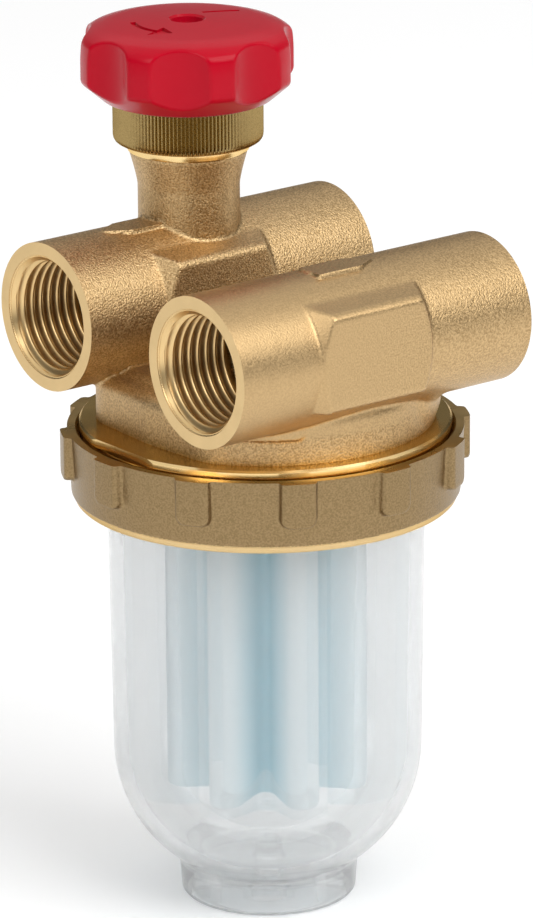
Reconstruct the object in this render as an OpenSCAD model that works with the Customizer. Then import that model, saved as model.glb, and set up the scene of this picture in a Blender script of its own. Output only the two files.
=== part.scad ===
// Two-pipe oil line filter with a shut-off valve.
// A cast head carries two parallel pipe runs. The rear run has the valve, and feeds the clear cup.
// The front run is a plain return passage. A union nut clamps the cup under the head, and a
// star-shaped porous element plugs into the head from below.
// Millimetres. +Z is up, X runs along the pipes, and the origin is the centre of the cup's foot.

/* [Pipe runs] */
// Distance between the two pipe axes
pipe_spacing = 42.3; // [40:0.1:44]
// Height of the pipe axes above the foot
pipe_height = 106; // [105.5:0.1:106.5]
// Outer diameter of each pipe run
pipe_od = 26.1; // [25.6:0.1:27]
// Length of each pipe run, port face to port face
pipe_length = 62.3; // [60:0.1:66]
// Major diameter of the parallel pipe thread in the ports
port_d = 20.955; // [20.8:0.005:21]
// Depth of the port thread
port_depth = 15; // [12:0.5:16]
// Diameter of the return passage between the port threads
passage_d = 15; // [12:0.5:16]

/* [Head] */
// Diameter of the machined flange over the union thread
flange_d = 64.6; // [64:0.1:65]
// Height of the flange top above the foot
flange_top = 87.4; // [87:0.1:88]
// Diameter of the cast base under the pipes
base_d = 58.6; // [56:0.2:60]
// Length of the cast base along the pipes
base_length = 50; // [48:0.2:52]
// Height of the web between the pipes above the foot
web_top = 97.2; // [97:0.1:99]

/* [Union nut] */
// Diameter of the nut body at its top
nut_d = 69.4; // [69:0.1:71]
// Height of the nut
nut_h = 12.9; // [12:0.1:14]
// Number of grip lugs round the nut
nut_lugs = 12; // [8:1:16]

/* [Cup] */
// Outer diameter of the cup just below the nut
cup_d = 55.4; // [54:0.1:55.6]
// Wall of the cup
cup_wall = 2.6; // [2.2:0.1:3]
// Diameter of the foot ring
foot_d = 31.4; // [28:0.2:33]

/* [Filter element] */
// Number of lobes of the star
star_lobes = 7; // [5:1:8]
// Diameter over the lobes
star_d = 35.6; // [30:0.2:38]
// Height of the element's underside above the foot
star_bottom = 20.5; // [14:0.5:30]

/* [Shut-off valve] */
// Diameter of the handwheel
wheel_d = 37.9; // [36:0.1:38.5]
// Number of finger flutes in the handwheel
wheel_flutes = 8; // [6:1:10]
// Diameter of the knurled bonnet
bonnet_d = 26.2; // [25.6:0.1:26.4]
// Height of the handwheel's top above the foot, valve open
wheel_top = 154; // [153.5:0.1:155]
// Lift of the valve from shut to open
valve_lift = 4.5; // [3:0.1:4.5]

/* [Hidden] */
$fn = 96;
// Overshoot of a cutting solid past the face that it cuts
eps = 1;

// Bodies that move past each other stay this far apart
gap = 0.3;
// Radial clearance of a running fit
run_fit = 0.05;

pipe_r = pipe_od / 2;
half_length = pipe_length / 2;
half_spacing = pipe_spacing / 2;
port_r = port_d / 2;
port_chamfer = 1.0;
port_mouth_r = port_r + 0.25;
rear_y = half_spacing;
front_y = -half_spacing;

// Square end and pointed end of the pad on the crown of each run
front_pad_x = [-7.5, 5.5];
rear_pad_x = [0, -19];

// Union joint, from the bottom up
nut_bottom = 73.1;
nut_top = nut_bottom + nut_h;
nut_foot_r = 33.7;
nut_lip_h = 2.6;
nut_lip_r = 28.1;
nut_bore_r = 32.6;
nut_chamfer = 0.7;
slip_h = 0.5;
slip_bottom = nut_bottom + nut_lip_h + gap;
cup_rim_h = 2.2;
cup_rim_r = 31;
cup_rim_bottom = slip_bottom + slip_h;
cup_top = cup_rim_bottom + cup_rim_h;
head_bottom = cup_top + 0.8;
thread_r = flange_d / 2;
thread_core_r = thread_r - 0.4;
flange_h = 1.5;
flange_edge = 0.4;

// Cup seal ring in the head's end face
cup_seal_r = 29.3;
cup_seal_wire = 1.2;
cup_seal_z = cup_top + gap + cup_seal_wire;
seal_groove_w = 2.8;

// Inside of the head
chamber_outer_r = 25.4;
chamber_inner_r = 11.5;
chamber_top = 88;
socket_r = 8;
socket_top = 92.8;
cross_r = 3;
cross_z = socket_top;
riser_x = 12;
riser_r = 3.4;
riser_bottom = 89.3;
feed_r = 5.5;
feed_end = 9;

// Valve
seat_top = 100.2;
seat_bore_r = 4;
seat_ring_r = 5;
seat_ring_h = 0.8;
neck_bore_r = 6.8;
neck_r = 8.9;
neck_flare_r = 10.4;
neck_flare_z = 125;
collar_bottom = 130.5;
collar_r = 10.7;
collar_top = 132.3;
bonnet_r = bonnet_d / 2;
bonnet_top = 143.5;
bonnet_shank_r = 6.7;
bonnet_shank_bottom = 119.6;
bonnet_seal_z = 129.5;
bonnet_seal_wire = 0.65;
spindle_r = 4.4;
bonnet_bore_r = spindle_r + run_fit;
hub_bottom = 145.6;
hub_r = 7;
hub_pocket_r = 7.6;
hub_pocket_bottom = hub_bottom - valve_lift - gap;
wheel_square = 5.6;
square_top = 149.6;
spindle_neck_r = 3;
button_r = 3.4;
button_bottom = 108.6;
button_h = 2;
button_neck_r = 2;
stop_ring_z = 118.2;
stop_ring_h = 1;
stop_ring_r = 5.2;
spindle_seal_wire = 0.55;
spindle_seal_low = 134;
spindle_seal_high = 138;

disc_r = 5.9;
disc_top = 112.3;
disc_bottom = 107;
disc_seal_r = 5.3;
disc_seal_h = 2;
disc_seal_bottom = seat_top + valve_lift + gap;
disc_washer_r = 2.9;
disc_washer_h = 0.5;
disc_screw_r = 1.5;
disc_screw_head_r = 2.3;
disc_screw_head_h = 1.2;
disc_screw_top = 108;

// Handwheel
wheel_r = wheel_d / 2;
wheel_bottom = 139.8;
wheel_bottom_r = 14.5;
wheel_hollow_r = bonnet_r + 0.5;
wheel_hollow_top = bonnet_top + valve_lift + 0.5;
wheel_hole_r = 2.9;
wheel_screw_r = 1.65;
wheel_washer_h = 0.5;
flute_r = 10;
flute_reach = 26.83;
flute_angle = 3.7;

// Element. One valley of the star faces the direction valley_facing.
star_tip_r = 3;
star_valley_r = 1.2;
star_valley = 8;
star_wall = 1.9;
star_floor = 2.4;
valley_facing = 228.9;
star_top = 73;
cap_r = 18.6;
cap_h = 2.6;
cap_top = star_top + cap_h;
spigot_r = socket_r - 0.25;
spigot_top = 90;
spigot_bore_r = 5;
element_seal_z = 84.5;
element_seal_wire = 0.8;

// Points along an arc, from angle a0 to angle a1
function arc(cx, cy, r, a0, a1, steps) = [
    for (i = [0 : steps]) let (a = a0 + (a1 - a0) * i / steps) [cx + r * cos(a), cy + r * sin(a)]
];

// Height on the lower side of a circle at radius r from the axis
function under_arc(r, cx, cz, rho) = cz - sqrt(rho * rho - (r - cx) * (r - cx));

// A plain disc or ring standing on z
module tube(r_out, r_in, z, h) {
    translate([0, 0, z])
        difference() {
            cylinder(r = r_out, h = h);
            translate([0, 0, -eps])
                cylinder(r = r_in, h = h + 2 * eps);
        }
}

// A seal ring of round section
module ring_seal(r, wire, z) {
    translate([0, 0, z])
        rotate_extrude()
            translate([r, 0])
                circle(r = wire, $fn = 32);
}

// A cylinder along X, from x0 to x1
module rod_x(r, x0, x1, y, z) {
    translate([x0, y, z])
        rotate([0, 90, 0])
            cylinder(r = r, h = x1 - x0);
}

module at_valve() {
    translate([0, rear_y, 0])
        children();
}

// ---------------------------------------------------------------- head

// Outline of the cast base: a round, cut short by two shallow prows along the pipes
module base_outline() {
    prow_h = 1;
    prow = base_length / 2 + prow_h;
    shoulder = base_length / 2 - prow_h;
    intersection() {
        circle(d = base_d);
        polygon([
            [prow, 0], [shoulder, base_d / 2], [-shoulder, base_d / 2],
            [-prow, 0], [-shoulder, -base_d / 2], [shoulder, -base_d / 2]
        ]);
    }
}

module head_base() {
    wall_top = 95.4;
    roof_in = 4;
    translate([0, 0, flange_top - eps])
        linear_extrude(wall_top - flange_top + eps)
            base_outline();
    // sloping roof up to the web between the pipes
    translate([0, 0, wall_top])
        intersection() {
            cylinder(r1 = base_d / 2, r2 = base_d / 2 - roof_in, h = web_top - wall_top);
            linear_extrude(web_top - wall_top)
                base_outline();
        }
}

// Machined flange with broken edges, and the union thread's envelope below it
module head_spigot() {
    lead_in = 1;
    under = flange_top - flange_h;
    rotate_extrude()
        polygon([
            [0, head_bottom], [thread_core_r - lead_in, head_bottom],
            [thread_core_r, head_bottom + lead_in], [thread_core_r, under],
            [thread_r - flange_edge, under], [thread_r, under + flange_edge / 2],
            [thread_r, flange_top - flange_edge], [thread_r - flange_edge, flange_top],
            [0, flange_top]
        ]);
}

// Raised spanner flat on one side of a pipe run, with a sloping top
module spanner_flat(y, side) {
    flat_start = -14.4;
    flat_end = 9;
    proud = 0.45;
    low = pipe_height - 8;
    high = pipe_height + 9.3;
    ridge = pipe_height + 10.4;
    heel = low - 0.4;
    top_in = 7.5;
    bottom_in = 9;
    edge = 0.8;
    face = y + side * (pipe_r + proud);
    translate([flat_start, 0, 0])
        rotate([90, 0, 90])
            linear_extrude(flat_end - flat_start)
                polygon([
                    [face, low + edge], [face, high - edge], [face - side * edge, high],
                    [y + side * top_in, ridge], [y, pipe_height],
                    [y + side * bottom_in, heel], [face - side * edge, low]
                ]);
}

// Raised pad on the crown of a pipe run, from its square end to its pointed end
module crown_pad(y, square_end, pointed_end) {
    pad_w = 5.8;
    tip_w = 1.4;
    tip_l = 4;
    proud = 0.35;
    off_centre = 0.6;
    toward = sign(pointed_end - square_end);
    shoulder = pointed_end - toward * tip_l;
    translate([0, y - off_centre, pipe_height])
        linear_extrude(pipe_r + proud)
            polygon([
                [square_end, -pad_w / 2], [shoulder, -pad_w / 2], [pointed_end, -tip_w / 2],
                [pointed_end, tip_w / 2], [shoulder, pad_w / 2], [square_end, pad_w / 2]
            ]);
}

// Cast belly under the valve-side end of the return run
module belly() {
    belly_r = 14.4;
    belly_start = 7;
    belly_end = base_length / 2 - 0.6;
    inward = 2.3;
    drop = 2;
    overhang = 1.5;
    belly_bottom = flange_top + 1;
    belly_top = 99.4;
    inner_y = -9;
    intersection() {
        rod_x(belly_r, belly_start, belly_end, front_y + inward, pipe_height - drop);
        translate([0, 0, belly_bottom])
            cylinder(r = base_d / 2 + overhang, h = belly_top - belly_bottom);
        translate([belly_start - eps, -base_d, flange_top])
            cube([belly_end, base_d + inner_y, pipe_height - flange_top]);
    }
}

module valve_neck() {
    root_r = neck_r + 0.25;
    root_top = pipe_height + pipe_r + 2;
    knee_r = neck_r + 0.55;
    knee_z = neck_flare_z + 2.6;
    at_valve()
        rotate_extrude()
            polygon([
                [0, pipe_height], [root_r, pipe_height], [root_r, pipe_height + pipe_r],
                [neck_r, root_top], [neck_r, neck_flare_z],
                [knee_r, knee_z], [neck_flare_r, collar_bottom],
                [collar_r, collar_bottom], [collar_r, collar_top - flange_edge],
                [collar_r - flange_edge, collar_top], [0, collar_top]
            ]);
}

// Port thread envelope with a countersunk mouth, at both ends of a pipe run
module port_cut(y) {
    floor_cone = 1.6;
    floor_r = port_r - 2.4;
    for (end = [-1, 1])
        translate([end * half_length, y, pipe_height])
            rotate([0, -end * 90, 0])
                rotate_extrude()
                    polygon([
                        [0, -eps], [port_mouth_r + eps, -eps], [port_mouth_r, 0],
                        [port_r, port_chamfer], [port_r, port_depth],
                        [floor_r, port_depth + floor_cone], [0, port_depth + floor_cone]
                    ]);
}

module seal_groove() {
    groove_top = cup_seal_z + cup_seal_wire;
    tube(
        cup_seal_r + seal_groove_w / 2, cup_seal_r - seal_groove_w / 2,
        head_bottom - eps, groove_top - head_bottom + eps
    );
}

module oil_passages() {
    port_floor = half_length - port_depth;
    port_cut(front_y);
    port_cut(rear_y);
    // straight return passage
    rod_x(passage_d / 2, -port_floor - eps, port_floor + eps, front_y, pipe_height);
    // feed, from the tank port into the valve chamber
    rod_x(feed_r, -port_floor - eps, 0, rear_y, pipe_height);
    at_valve() {
        translate([0, 0, seat_top])
            cylinder(r = neck_bore_r, h = collar_top - seat_top + eps);
        tube(neck_bore_r, seat_ring_r, seat_top - seat_ring_h, seat_ring_h + eps);
        translate([0, 0, chamber_top - eps])
            cylinder(r = seat_bore_r, h = seat_top - chamber_top + 2 * eps);
    }
    // ring chamber outside the element's socket
    tube(chamber_outer_r, chamber_inner_r, head_bottom - eps, chamber_top - head_bottom + eps);
    // socket, cross passage and riser to the burner port
    translate([0, 0, head_bottom - eps])
        cylinder(r = socket_r, h = socket_top - head_bottom + eps);
    translate([0, 0, cross_z])
        rotate([0, 90, atan2(rear_y, riser_x)])
            cylinder(r = cross_r, h = norm([riser_x, rear_y]));
    translate([riser_x, rear_y, riser_bottom])
        cylinder(r = riser_r, h = pipe_height - riser_bottom);
    rod_x(feed_r, feed_end, port_floor + eps, rear_y, pipe_height);
}

module filter_head() {
    color("peru")
        difference() {
            union() {
                head_spigot();
                head_base();
                for (y = [front_y, rear_y]) {
                    rod_x(pipe_r, -half_length, half_length, y, pipe_height);
                    spanner_flat(y, -1);
                    spanner_flat(y, 1);
                }
                belly();
                crown_pad(front_y, front_pad_x[0], front_pad_x[1]);
                crown_pad(rear_y, rear_pad_x[0], rear_pad_x[1]);
                valve_neck();
            }
            oil_passages();
            seal_groove();
        }
}

// ---------------------------------------------------------------- union nut and cup

// Grip lug, drawn upright in the XZ plane, with round lower corners
module lug_outline() {
    lug_w = 6.3;
    lug_h = 8;
    corner = 1.4;
    union() {
        translate([-lug_w / 2, nut_top - lug_h + corner])
            square([lug_w, lug_h - corner]);
        translate([-lug_w / 2 + corner, nut_top - lug_h])
            square([lug_w - 2 * corner, lug_h]);
        for (side = [-1, 1])
            translate([side * (lug_w / 2 - corner), nut_top - lug_h + corner])
                circle(r = corner, $fn = 32);
    }
}

module union_nut() {
    nut_r = nut_d / 2;
    lug_r = nut_r + 1;
    lug_top = nut_top - 0.1;
    ring_r = nut_foot_r + 0.4;
    ring_top = nut_bottom + 1.2;
    waist_r = nut_r - 0.6;
    waist_z = ring_top + 0.5;
    edge = 0.4;
    lug_angle = 1;
    color("darkgoldenrod")
        difference() {
            union() {
                rotate_extrude()
                    polygon([
                        [0, nut_bottom], [nut_foot_r, nut_bottom], [ring_r, ring_top],
                        [waist_r, waist_z], [nut_r, nut_top - edge],
                        [nut_r - edge, nut_top], [0, nut_top]
                    ]);
                intersection() {
                    cylinder(r = lug_r, h = lug_top);
                    for (i = [0 : nut_lugs - 1])
                        rotate([0, 0, lug_angle + i * 360 / nut_lugs])
                            rotate([90, 0, 90])
                                linear_extrude(nut_d)
                                    lug_outline();
                }
            }
            translate([0, 0, nut_bottom - eps])
                cylinder(r = nut_lip_r, h = nut_h + 2 * eps);
            translate([0, 0, nut_bottom + nut_lip_h])
                cylinder(r = nut_bore_r, h = nut_h);
            translate([0, 0, nut_top - nut_chamfer])
                cylinder(r1 = nut_bore_r, r2 = nut_bore_r + 2 * nut_chamfer, h = 2 * nut_chamfer);
        }
}

module slip_ring() {
    clearance = 0.4;
    color("white")
        tube(cup_rim_r - gap, cup_d / 2 + clearance, slip_bottom, slip_h);
}

module cup() {
    dome_rho = 25;
    dome_z = 27.8;
    body_r = 27.07;
    dome_x = body_r - dome_rho;
    inner_rho = dome_rho - cup_wall;
    foot_r = foot_d / 2;
    foot_wall = 2.8;
    foot_in = foot_r - foot_wall;
    edge = 0.8;
    draft = 0.3;
    pad_r = 3;
    peg_r = 2.4;
    peg_top = 8.6;
    peg_root = 1;
    floor_z = dome_z - inner_rho;
    join = foot_r + 0.4;
    step_r = foot_r + 0.1;
    step_z = under_arc(join, dome_x, dome_z, dome_rho) - 1.2;
    join_angle = -acos((join - dome_x) / dome_rho);
    inner_angle = -acos((foot_in - dome_x) / dome_rho);
    color("lightcyan", 0.35)
        union() {
            rotate_extrude()
                polygon(concat(
                    [[0, floor_z], [dome_x, floor_z]],
                    arc(dome_x, dome_z, inner_rho, -90, 0, 24),
                    [[cup_d / 2 - cup_wall, cup_top], [cup_rim_r - edge / 2, cup_top]],
                    [[cup_rim_r, cup_top - edge / 2], [cup_rim_r, cup_rim_bottom]],
                    [[cup_d / 2, cup_rim_bottom]],
                    arc(dome_x, dome_z, dome_rho, 0, join_angle, 20),
                    [[step_r, step_z], [foot_r - draft, edge], [foot_r - draft - edge, 0]],
                    [[foot_in + edge / 2, 0]],
                    [[foot_in, edge / 2]],
                    arc(dome_x, dome_z, dome_rho, inner_angle, -90, 10),
                    [[pad_r, dome_z - dome_rho], [pad_r, 0], [0, 0]]
                ));
            // moulded peg in the middle of the floor
            translate([0, 0, floor_z - peg_root])
                cylinder(r = peg_r, h = peg_top - floor_z + peg_root);
        }
}

module cup_seal_ring() {
    color("black")
        ring_seal(cup_seal_r, cup_seal_wire, cup_seal_z);
}

// ---------------------------------------------------------------- filter element

// Star outline: round tips and round valleys joined by straight flanks. inset moves it inwards.
module star_outline(inset) {
    half = 180 / star_lobes;
    tip_x = star_d / 2 - star_tip_r;
    valley_x = (star_valley + star_valley_r) * cos(half);
    valley_y = (star_valley + star_valley_r) * sin(half);
    span = norm([valley_x - tip_x, valley_y]);
    touch = atan2(valley_y, valley_x - tip_x) - acos((star_tip_r + star_valley_r) / span);
    sweep = touch + 180 - (half + 180);
    polygon([
        for (i = [0 : star_lobes - 1])
            for (p = concat(
                arc(tip_x, 0, star_tip_r - inset, -touch, touch, 10),
                arc(valley_x, valley_y, star_valley_r + inset, touch + 180, touch + 180 - 2 * sweep, 6)
            ))
                let (a = i * 360 / star_lobes)
                    [p[0] * cos(a) - p[1] * sin(a), p[0] * sin(a) + p[1] * cos(a)]
    ]);
}

module filter_element() {
    star_angle = valley_facing - 180 / star_lobes;
    color("lightblue")
        rotate([0, 0, star_angle])
            difference() {
                translate([0, 0, star_bottom])
                    linear_extrude(star_top - star_bottom)
                        star_outline(0);
                translate([0, 0, star_bottom + star_floor])
                    linear_extrude(star_top - star_bottom)
                        star_outline(star_wall);
            }
}

module element_cap() {
    squeeze = 0.15;
    cap_edge = 0.5;
    spigot_edge = 1;
    groove_r = spigot_r - 2 * element_seal_wire + squeeze;
    groove_h = 2 * element_seal_wire + 0.4;
    groove_bottom = element_seal_z - groove_h / 2;
    groove_top = element_seal_z + groove_h / 2;
    color("ivory")
        difference() {
            rotate_extrude()
                polygon([
                    [0, star_top], [cap_r, star_top], [cap_r, cap_top - cap_edge],
                    [cap_r - cap_edge, cap_top], [spigot_r, cap_top], [spigot_r, groove_bottom],
                    [groove_r, groove_bottom], [groove_r, groove_top], [spigot_r, groove_top],
                    [spigot_r, spigot_top - spigot_edge], [spigot_r - spigot_edge, spigot_top],
                    [0, spigot_top]
                ]);
            translate([0, 0, star_top - eps])
                cylinder(r = spigot_bore_r, h = spigot_top - star_top + 2 * eps);
        }
}

module element_seal_ring() {
    color("black")
        ring_seal(socket_r - element_seal_wire - run_fit, element_seal_wire, element_seal_z);
}

// ---------------------------------------------------------------- shut-off valve

module bonnet() {
    groove_h = 2 * bonnet_seal_wire + 0.3;
    groove_r = neck_bore_r - 2 * bonnet_seal_wire - 2 * run_fit;
    groove_bottom = bonnet_seal_z - groove_h / 2;
    groove_top = bonnet_seal_z + groove_h / 2;
    edge = 0.4;
    color("goldenrod")
        at_valve()
            difference() {
                rotate_extrude()
                    polygon([
                        [0, bonnet_shank_bottom], [bonnet_shank_r - edge, bonnet_shank_bottom],
                        [bonnet_shank_r, bonnet_shank_bottom + edge],
                        [bonnet_shank_r, groove_bottom], [groove_r, groove_bottom],
                        [groove_r, groove_top], [bonnet_shank_r, groove_top],
                        [bonnet_shank_r, collar_top],
                        [bonnet_r - edge, collar_top], [bonnet_r, collar_top + edge],
                        [bonnet_r, bonnet_top - edge], [bonnet_r - edge, bonnet_top],
                        [0, bonnet_top]
                    ]);
                translate([0, 0, bonnet_shank_bottom - eps])
                    cylinder(r = bonnet_bore_r, h = bonnet_top - bonnet_shank_bottom + 2 * eps);
                translate([0, 0, hub_pocket_bottom])
                    cylinder(r = hub_pocket_r, h = bonnet_top - hub_pocket_bottom + eps);
            }
}

module bonnet_seal_ring() {
    color("black")
        at_valve()
            ring_seal(neck_bore_r - bonnet_seal_wire - run_fit, bonnet_seal_wire, bonnet_seal_z);
}

module seal_groove_step(z) {
    groove_h = 2 * spindle_seal_wire + 0.2;
    tube(spindle_r + eps, spindle_r - 2 * spindle_seal_wire, z - groove_h / 2, groove_h);
}

module spindle() {
    tap_depth = 9;
    button_top = button_bottom + button_h;
    neck_low = disc_top + gap;
    neck_step = 0.8;
    neck_high = stop_ring_z + 2.8;
    neck_cone = 0.6;
    color("goldenrod")
        at_valve()
            difference() {
                union() {
                    rotate_extrude()
                        polygon([
                            [0, button_bottom], [button_r, button_bottom], [button_r, button_top],
                            [button_neck_r, button_top], [button_neck_r, neck_low],
                            [spindle_neck_r, neck_low + neck_step], [spindle_neck_r, neck_high],
                            [spindle_r, neck_high + neck_cone], [spindle_r, hub_bottom],
                            [0, hub_bottom]
                        ]);
                    translate([-wheel_square / 2, -wheel_square / 2, hub_bottom])
                        cube([wheel_square, wheel_square, square_top - hub_bottom]);
                }
                seal_groove_step(spindle_seal_low);
                seal_groove_step(spindle_seal_high);
                translate([0, 0, square_top - tap_depth])
                    cylinder(r = wheel_screw_r, h = tap_depth + eps);
            }
}

module spindle_seal_lower() {
    color("black")
        at_valve()
            ring_seal(spindle_r - spindle_seal_wire, spindle_seal_wire, spindle_seal_low);
}

module spindle_seal_upper() {
    color("black")
        at_valve()
            ring_seal(spindle_r - spindle_seal_wire, spindle_seal_wire, spindle_seal_high);
}

module stop_ring() {
    slot_w = 2.4;
    color("silver")
        at_valve()
            difference() {
                tube(stop_ring_r, spindle_neck_r + run_fit, stop_ring_z, stop_ring_h);
                translate([0, -slot_w / 2, stop_ring_z - eps])
                    cube([stop_ring_r + eps, slot_w, stop_ring_h + 2 * eps]);
            }
}

module valve_disc() {
    seal_proud = 0.3;
    disc_lip = disc_seal_bottom + seal_proud;
    color("goldenrod")
        at_valve()
            difference() {
                translate([0, 0, disc_lip])
                    cylinder(r = disc_r, h = disc_top - disc_lip);
                // pocket for the spindle's button, and its neck
                translate([0, 0, button_bottom - gap])
                    cylinder(r = button_r + gap, h = button_h + 2 * gap);
                translate([0, 0, button_bottom])
                    cylinder(r = button_neck_r + gap, h = disc_top);
                // seat for the seal
                translate([0, 0, disc_seal_bottom - eps])
                    cylinder(r = disc_seal_r, h = disc_seal_h + eps);
                // hole for the screw, through to the button's pocket
                translate([0, 0, disc_bottom - eps])
                    cylinder(r = disc_screw_r, h = button_bottom - disc_bottom + eps);
            }
}

module disc_seal() {
    color("black")
        at_valve()
            tube(disc_seal_r, disc_screw_r, disc_seal_bottom, disc_seal_h);
}

module disc_washer() {
    color("silver")
        at_valve()
            tube(disc_washer_r, disc_screw_r, disc_seal_bottom - disc_washer_h, disc_washer_h);
}

module disc_screw() {
    head_top = disc_seal_bottom - disc_washer_h;
    head_bottom_z = head_top - disc_screw_head_h;
    slot_w = 0.7;
    slot_h = 0.6;
    color("silver")
        at_valve()
            difference() {
                union() {
                    translate([0, 0, head_bottom_z])
                        cylinder(r = disc_screw_head_r, h = disc_screw_head_h);
                    translate([0, 0, head_top])
                        cylinder(r = disc_screw_r, h = disc_screw_top - head_top);
                }
                translate([-disc_screw_head_r - eps, -slot_w / 2, head_bottom_z - eps])
                    cube([2 * (disc_screw_head_r + eps), slot_w, slot_h + eps]);
            }
}

// ---------------------------------------------------------------- handwheel

module handwheel() {
    side_bottom = 143.6;
    side_top = 149.4;
    // outline of the rounded shoulder and the shallow crown, (radius, height) from the side inwards
    crown = [
        [wheel_r, side_top], [wheel_r - 0.35, side_top + 1.6], [wheel_r - 1.6, side_top + 2.8],
        [wheel_r - 4, wheel_top - 0.93], [wheel_r * 0.55, wheel_top - 0.33]
    ];
    color("crimson")
        at_valve()
            difference() {
                rotate_extrude()
                    polygon(concat(
                        [[0, wheel_bottom], [wheel_bottom_r, wheel_bottom], [wheel_r, side_bottom]],
                        crown,
                        [[wheel_hole_r, wheel_top], [0, wheel_top]]
                    ));
                difference() {
                    translate([0, 0, wheel_bottom - eps])
                        cylinder(r = wheel_hollow_r, h = wheel_hollow_top - wheel_bottom + eps);
                    translate([0, 0, hub_bottom])
                        cylinder(r = hub_r, h = wheel_hollow_top);
                }
                // screw well and square socket
                translate([0, 0, square_top])
                    cylinder(r = wheel_hole_r, h = wheel_top);
                translate([-wheel_square / 2, -wheel_square / 2, hub_bottom - eps])
                    cube([wheel_square, wheel_square, square_top - hub_bottom + 2 * eps]);
                for (i = [0 : wheel_flutes - 1])
                    rotate([0, 0, flute_angle + i * 360 / wheel_flutes])
                        translate([flute_reach, 0, wheel_bottom - eps])
                            cylinder(r = flute_r, h = wheel_top);
            }
}

module handwheel_washer() {
    outer_r = wheel_hole_r - 0.1;
    inner_r = wheel_screw_r + 0.15;
    color("silver")
        at_valve()
            tube(outer_r, inner_r, square_top, wheel_washer_h);
}

module handwheel_screw() {
    head_r = 2.6;
    head_h = 1.7;
    shank_l = 8;
    slot_w = 0.8;
    slot_h = 0.8;
    under_head = square_top + wheel_washer_h;
    color("silver")
        at_valve()
            difference() {
                union() {
                    translate([0, 0, under_head])
                        cylinder(r = head_r, h = head_h);
                    translate([0, 0, under_head - shank_l])
                        cylinder(r = wheel_screw_r, h = shank_l);
                }
                translate([-head_r - eps, -slot_w / 2, under_head + head_h - slot_h])
                    cube([2 * (head_r + eps), slot_w, slot_h + eps]);
            }
}

filter_head();
union_nut();
slip_ring();
cup();
cup_seal_ring();
filter_element();
element_cap();
element_seal_ring();
bonnet();
bonnet_seal_ring();
spindle();
spindle_seal_lower();
spindle_seal_upper();
stop_ring();
valve_disc();
disc_seal();
disc_washer();
disc_screw();
handwheel();
handwheel_washer();
handwheel_screw();
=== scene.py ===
"""Looks of the two-pipe oil line filter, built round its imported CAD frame.

Shapes are worked out in millimetres in the frame's own axes, and turned to metres when a mesh is made.
Cast shapes are signed distances sampled on a grid, so that their edges and corners are rounded as a
casting's are. Machined faces, bores and threads are cut into them afterwards, so they stay crisp.
"""

import math

import bpy
import numpy as np
import openvdb as vdb
from mathutils import Matrix, Vector


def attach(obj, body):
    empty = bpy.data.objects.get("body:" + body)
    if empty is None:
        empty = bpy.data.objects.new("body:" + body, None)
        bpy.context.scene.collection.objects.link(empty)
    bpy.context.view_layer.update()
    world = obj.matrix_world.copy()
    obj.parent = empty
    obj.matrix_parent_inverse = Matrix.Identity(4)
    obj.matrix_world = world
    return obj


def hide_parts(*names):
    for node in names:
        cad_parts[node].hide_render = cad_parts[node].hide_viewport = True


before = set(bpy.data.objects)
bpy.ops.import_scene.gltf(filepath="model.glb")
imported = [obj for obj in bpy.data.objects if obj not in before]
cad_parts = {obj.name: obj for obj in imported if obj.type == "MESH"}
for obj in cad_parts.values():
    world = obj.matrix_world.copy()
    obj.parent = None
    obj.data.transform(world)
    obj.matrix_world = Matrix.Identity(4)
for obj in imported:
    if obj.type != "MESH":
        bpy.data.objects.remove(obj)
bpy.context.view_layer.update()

MM = 0.001
TAU = 2 * math.pi

# ------------------------------------------------------------------ driving dimensions, mm
PIPE_R = 13.05
PIPE_Z = 106.0
HALF_LENGTH = 31.15
REAR_Y = 21.15
FRONT_Y = -21.15
PORT_R = 10.4775
PORT_PITCH = 1.814
PORT_THREAD_DEPTH = 1.12
PORT_DEPTH = 15.0
MOUTH_R = PORT_R + 0.25
FLANGE_R = 32.3
FLANGE_TOP = 87.4
FLANGE_H = 1.5
HEAD_BOTTOM = 79.5
UNION_PITCH = 1.5
UNION_THREAD_DEPTH = 0.6
UNION_THREAD_ROW = 0.15
BASE_R = 29.3
BASE_HALF = 26.0
WALL_TOP = 96.0
WEB_TOP = 97.2
WEB_INSET = 3.8
NUT_BOTTOM = 73.1
NUT_TOP = 86.0
NUT_R = 34.7
LUG_R = 35.7
NUT_BORE_R = 32.6
NUT_LIP_R = 28.1
NUT_LIP_H = 2.6
NUT_LUGS = 12
CUP_R = 27.7
CUP_WALL = 2.6
CUP_RIM_R = 31.0
CUP_TOP = 78.7
FOOT_R = 15.7
STAR_LOBES = 7
STAR_R = 17.8
STAR_BOTTOM = 20.5
STAR_TOP = 73.0
STAR_TIP_R = 3.0
STAR_VALLEY = 8.0
STAR_VALLEY_R = 1.2
STAR_WALL = 1.9
STAR_FLOOR = 2.4
STAR_VALLEY_FACING = 228.9
NECK_R = 8.9
NECK_BORE_R = 6.8
SEAT_Z = 100.2
GALLERY_Z = 92.8
COLLAR_TOP = 132.3
BONNET_R = 13.1
BONNET_TOP = 143.5
WHEEL_R = 18.95
WHEEL_BOTTOM = 139.8
WHEEL_TOP = 154.0
FLUTES = 8
FLUTE_R = 10.0
FLUTE_REACH = 26.83
FLUTE_ANGLE = 3.7
AXIS_SLACK = 1e-6


# ------------------------------------------------------------------ meshes

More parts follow.
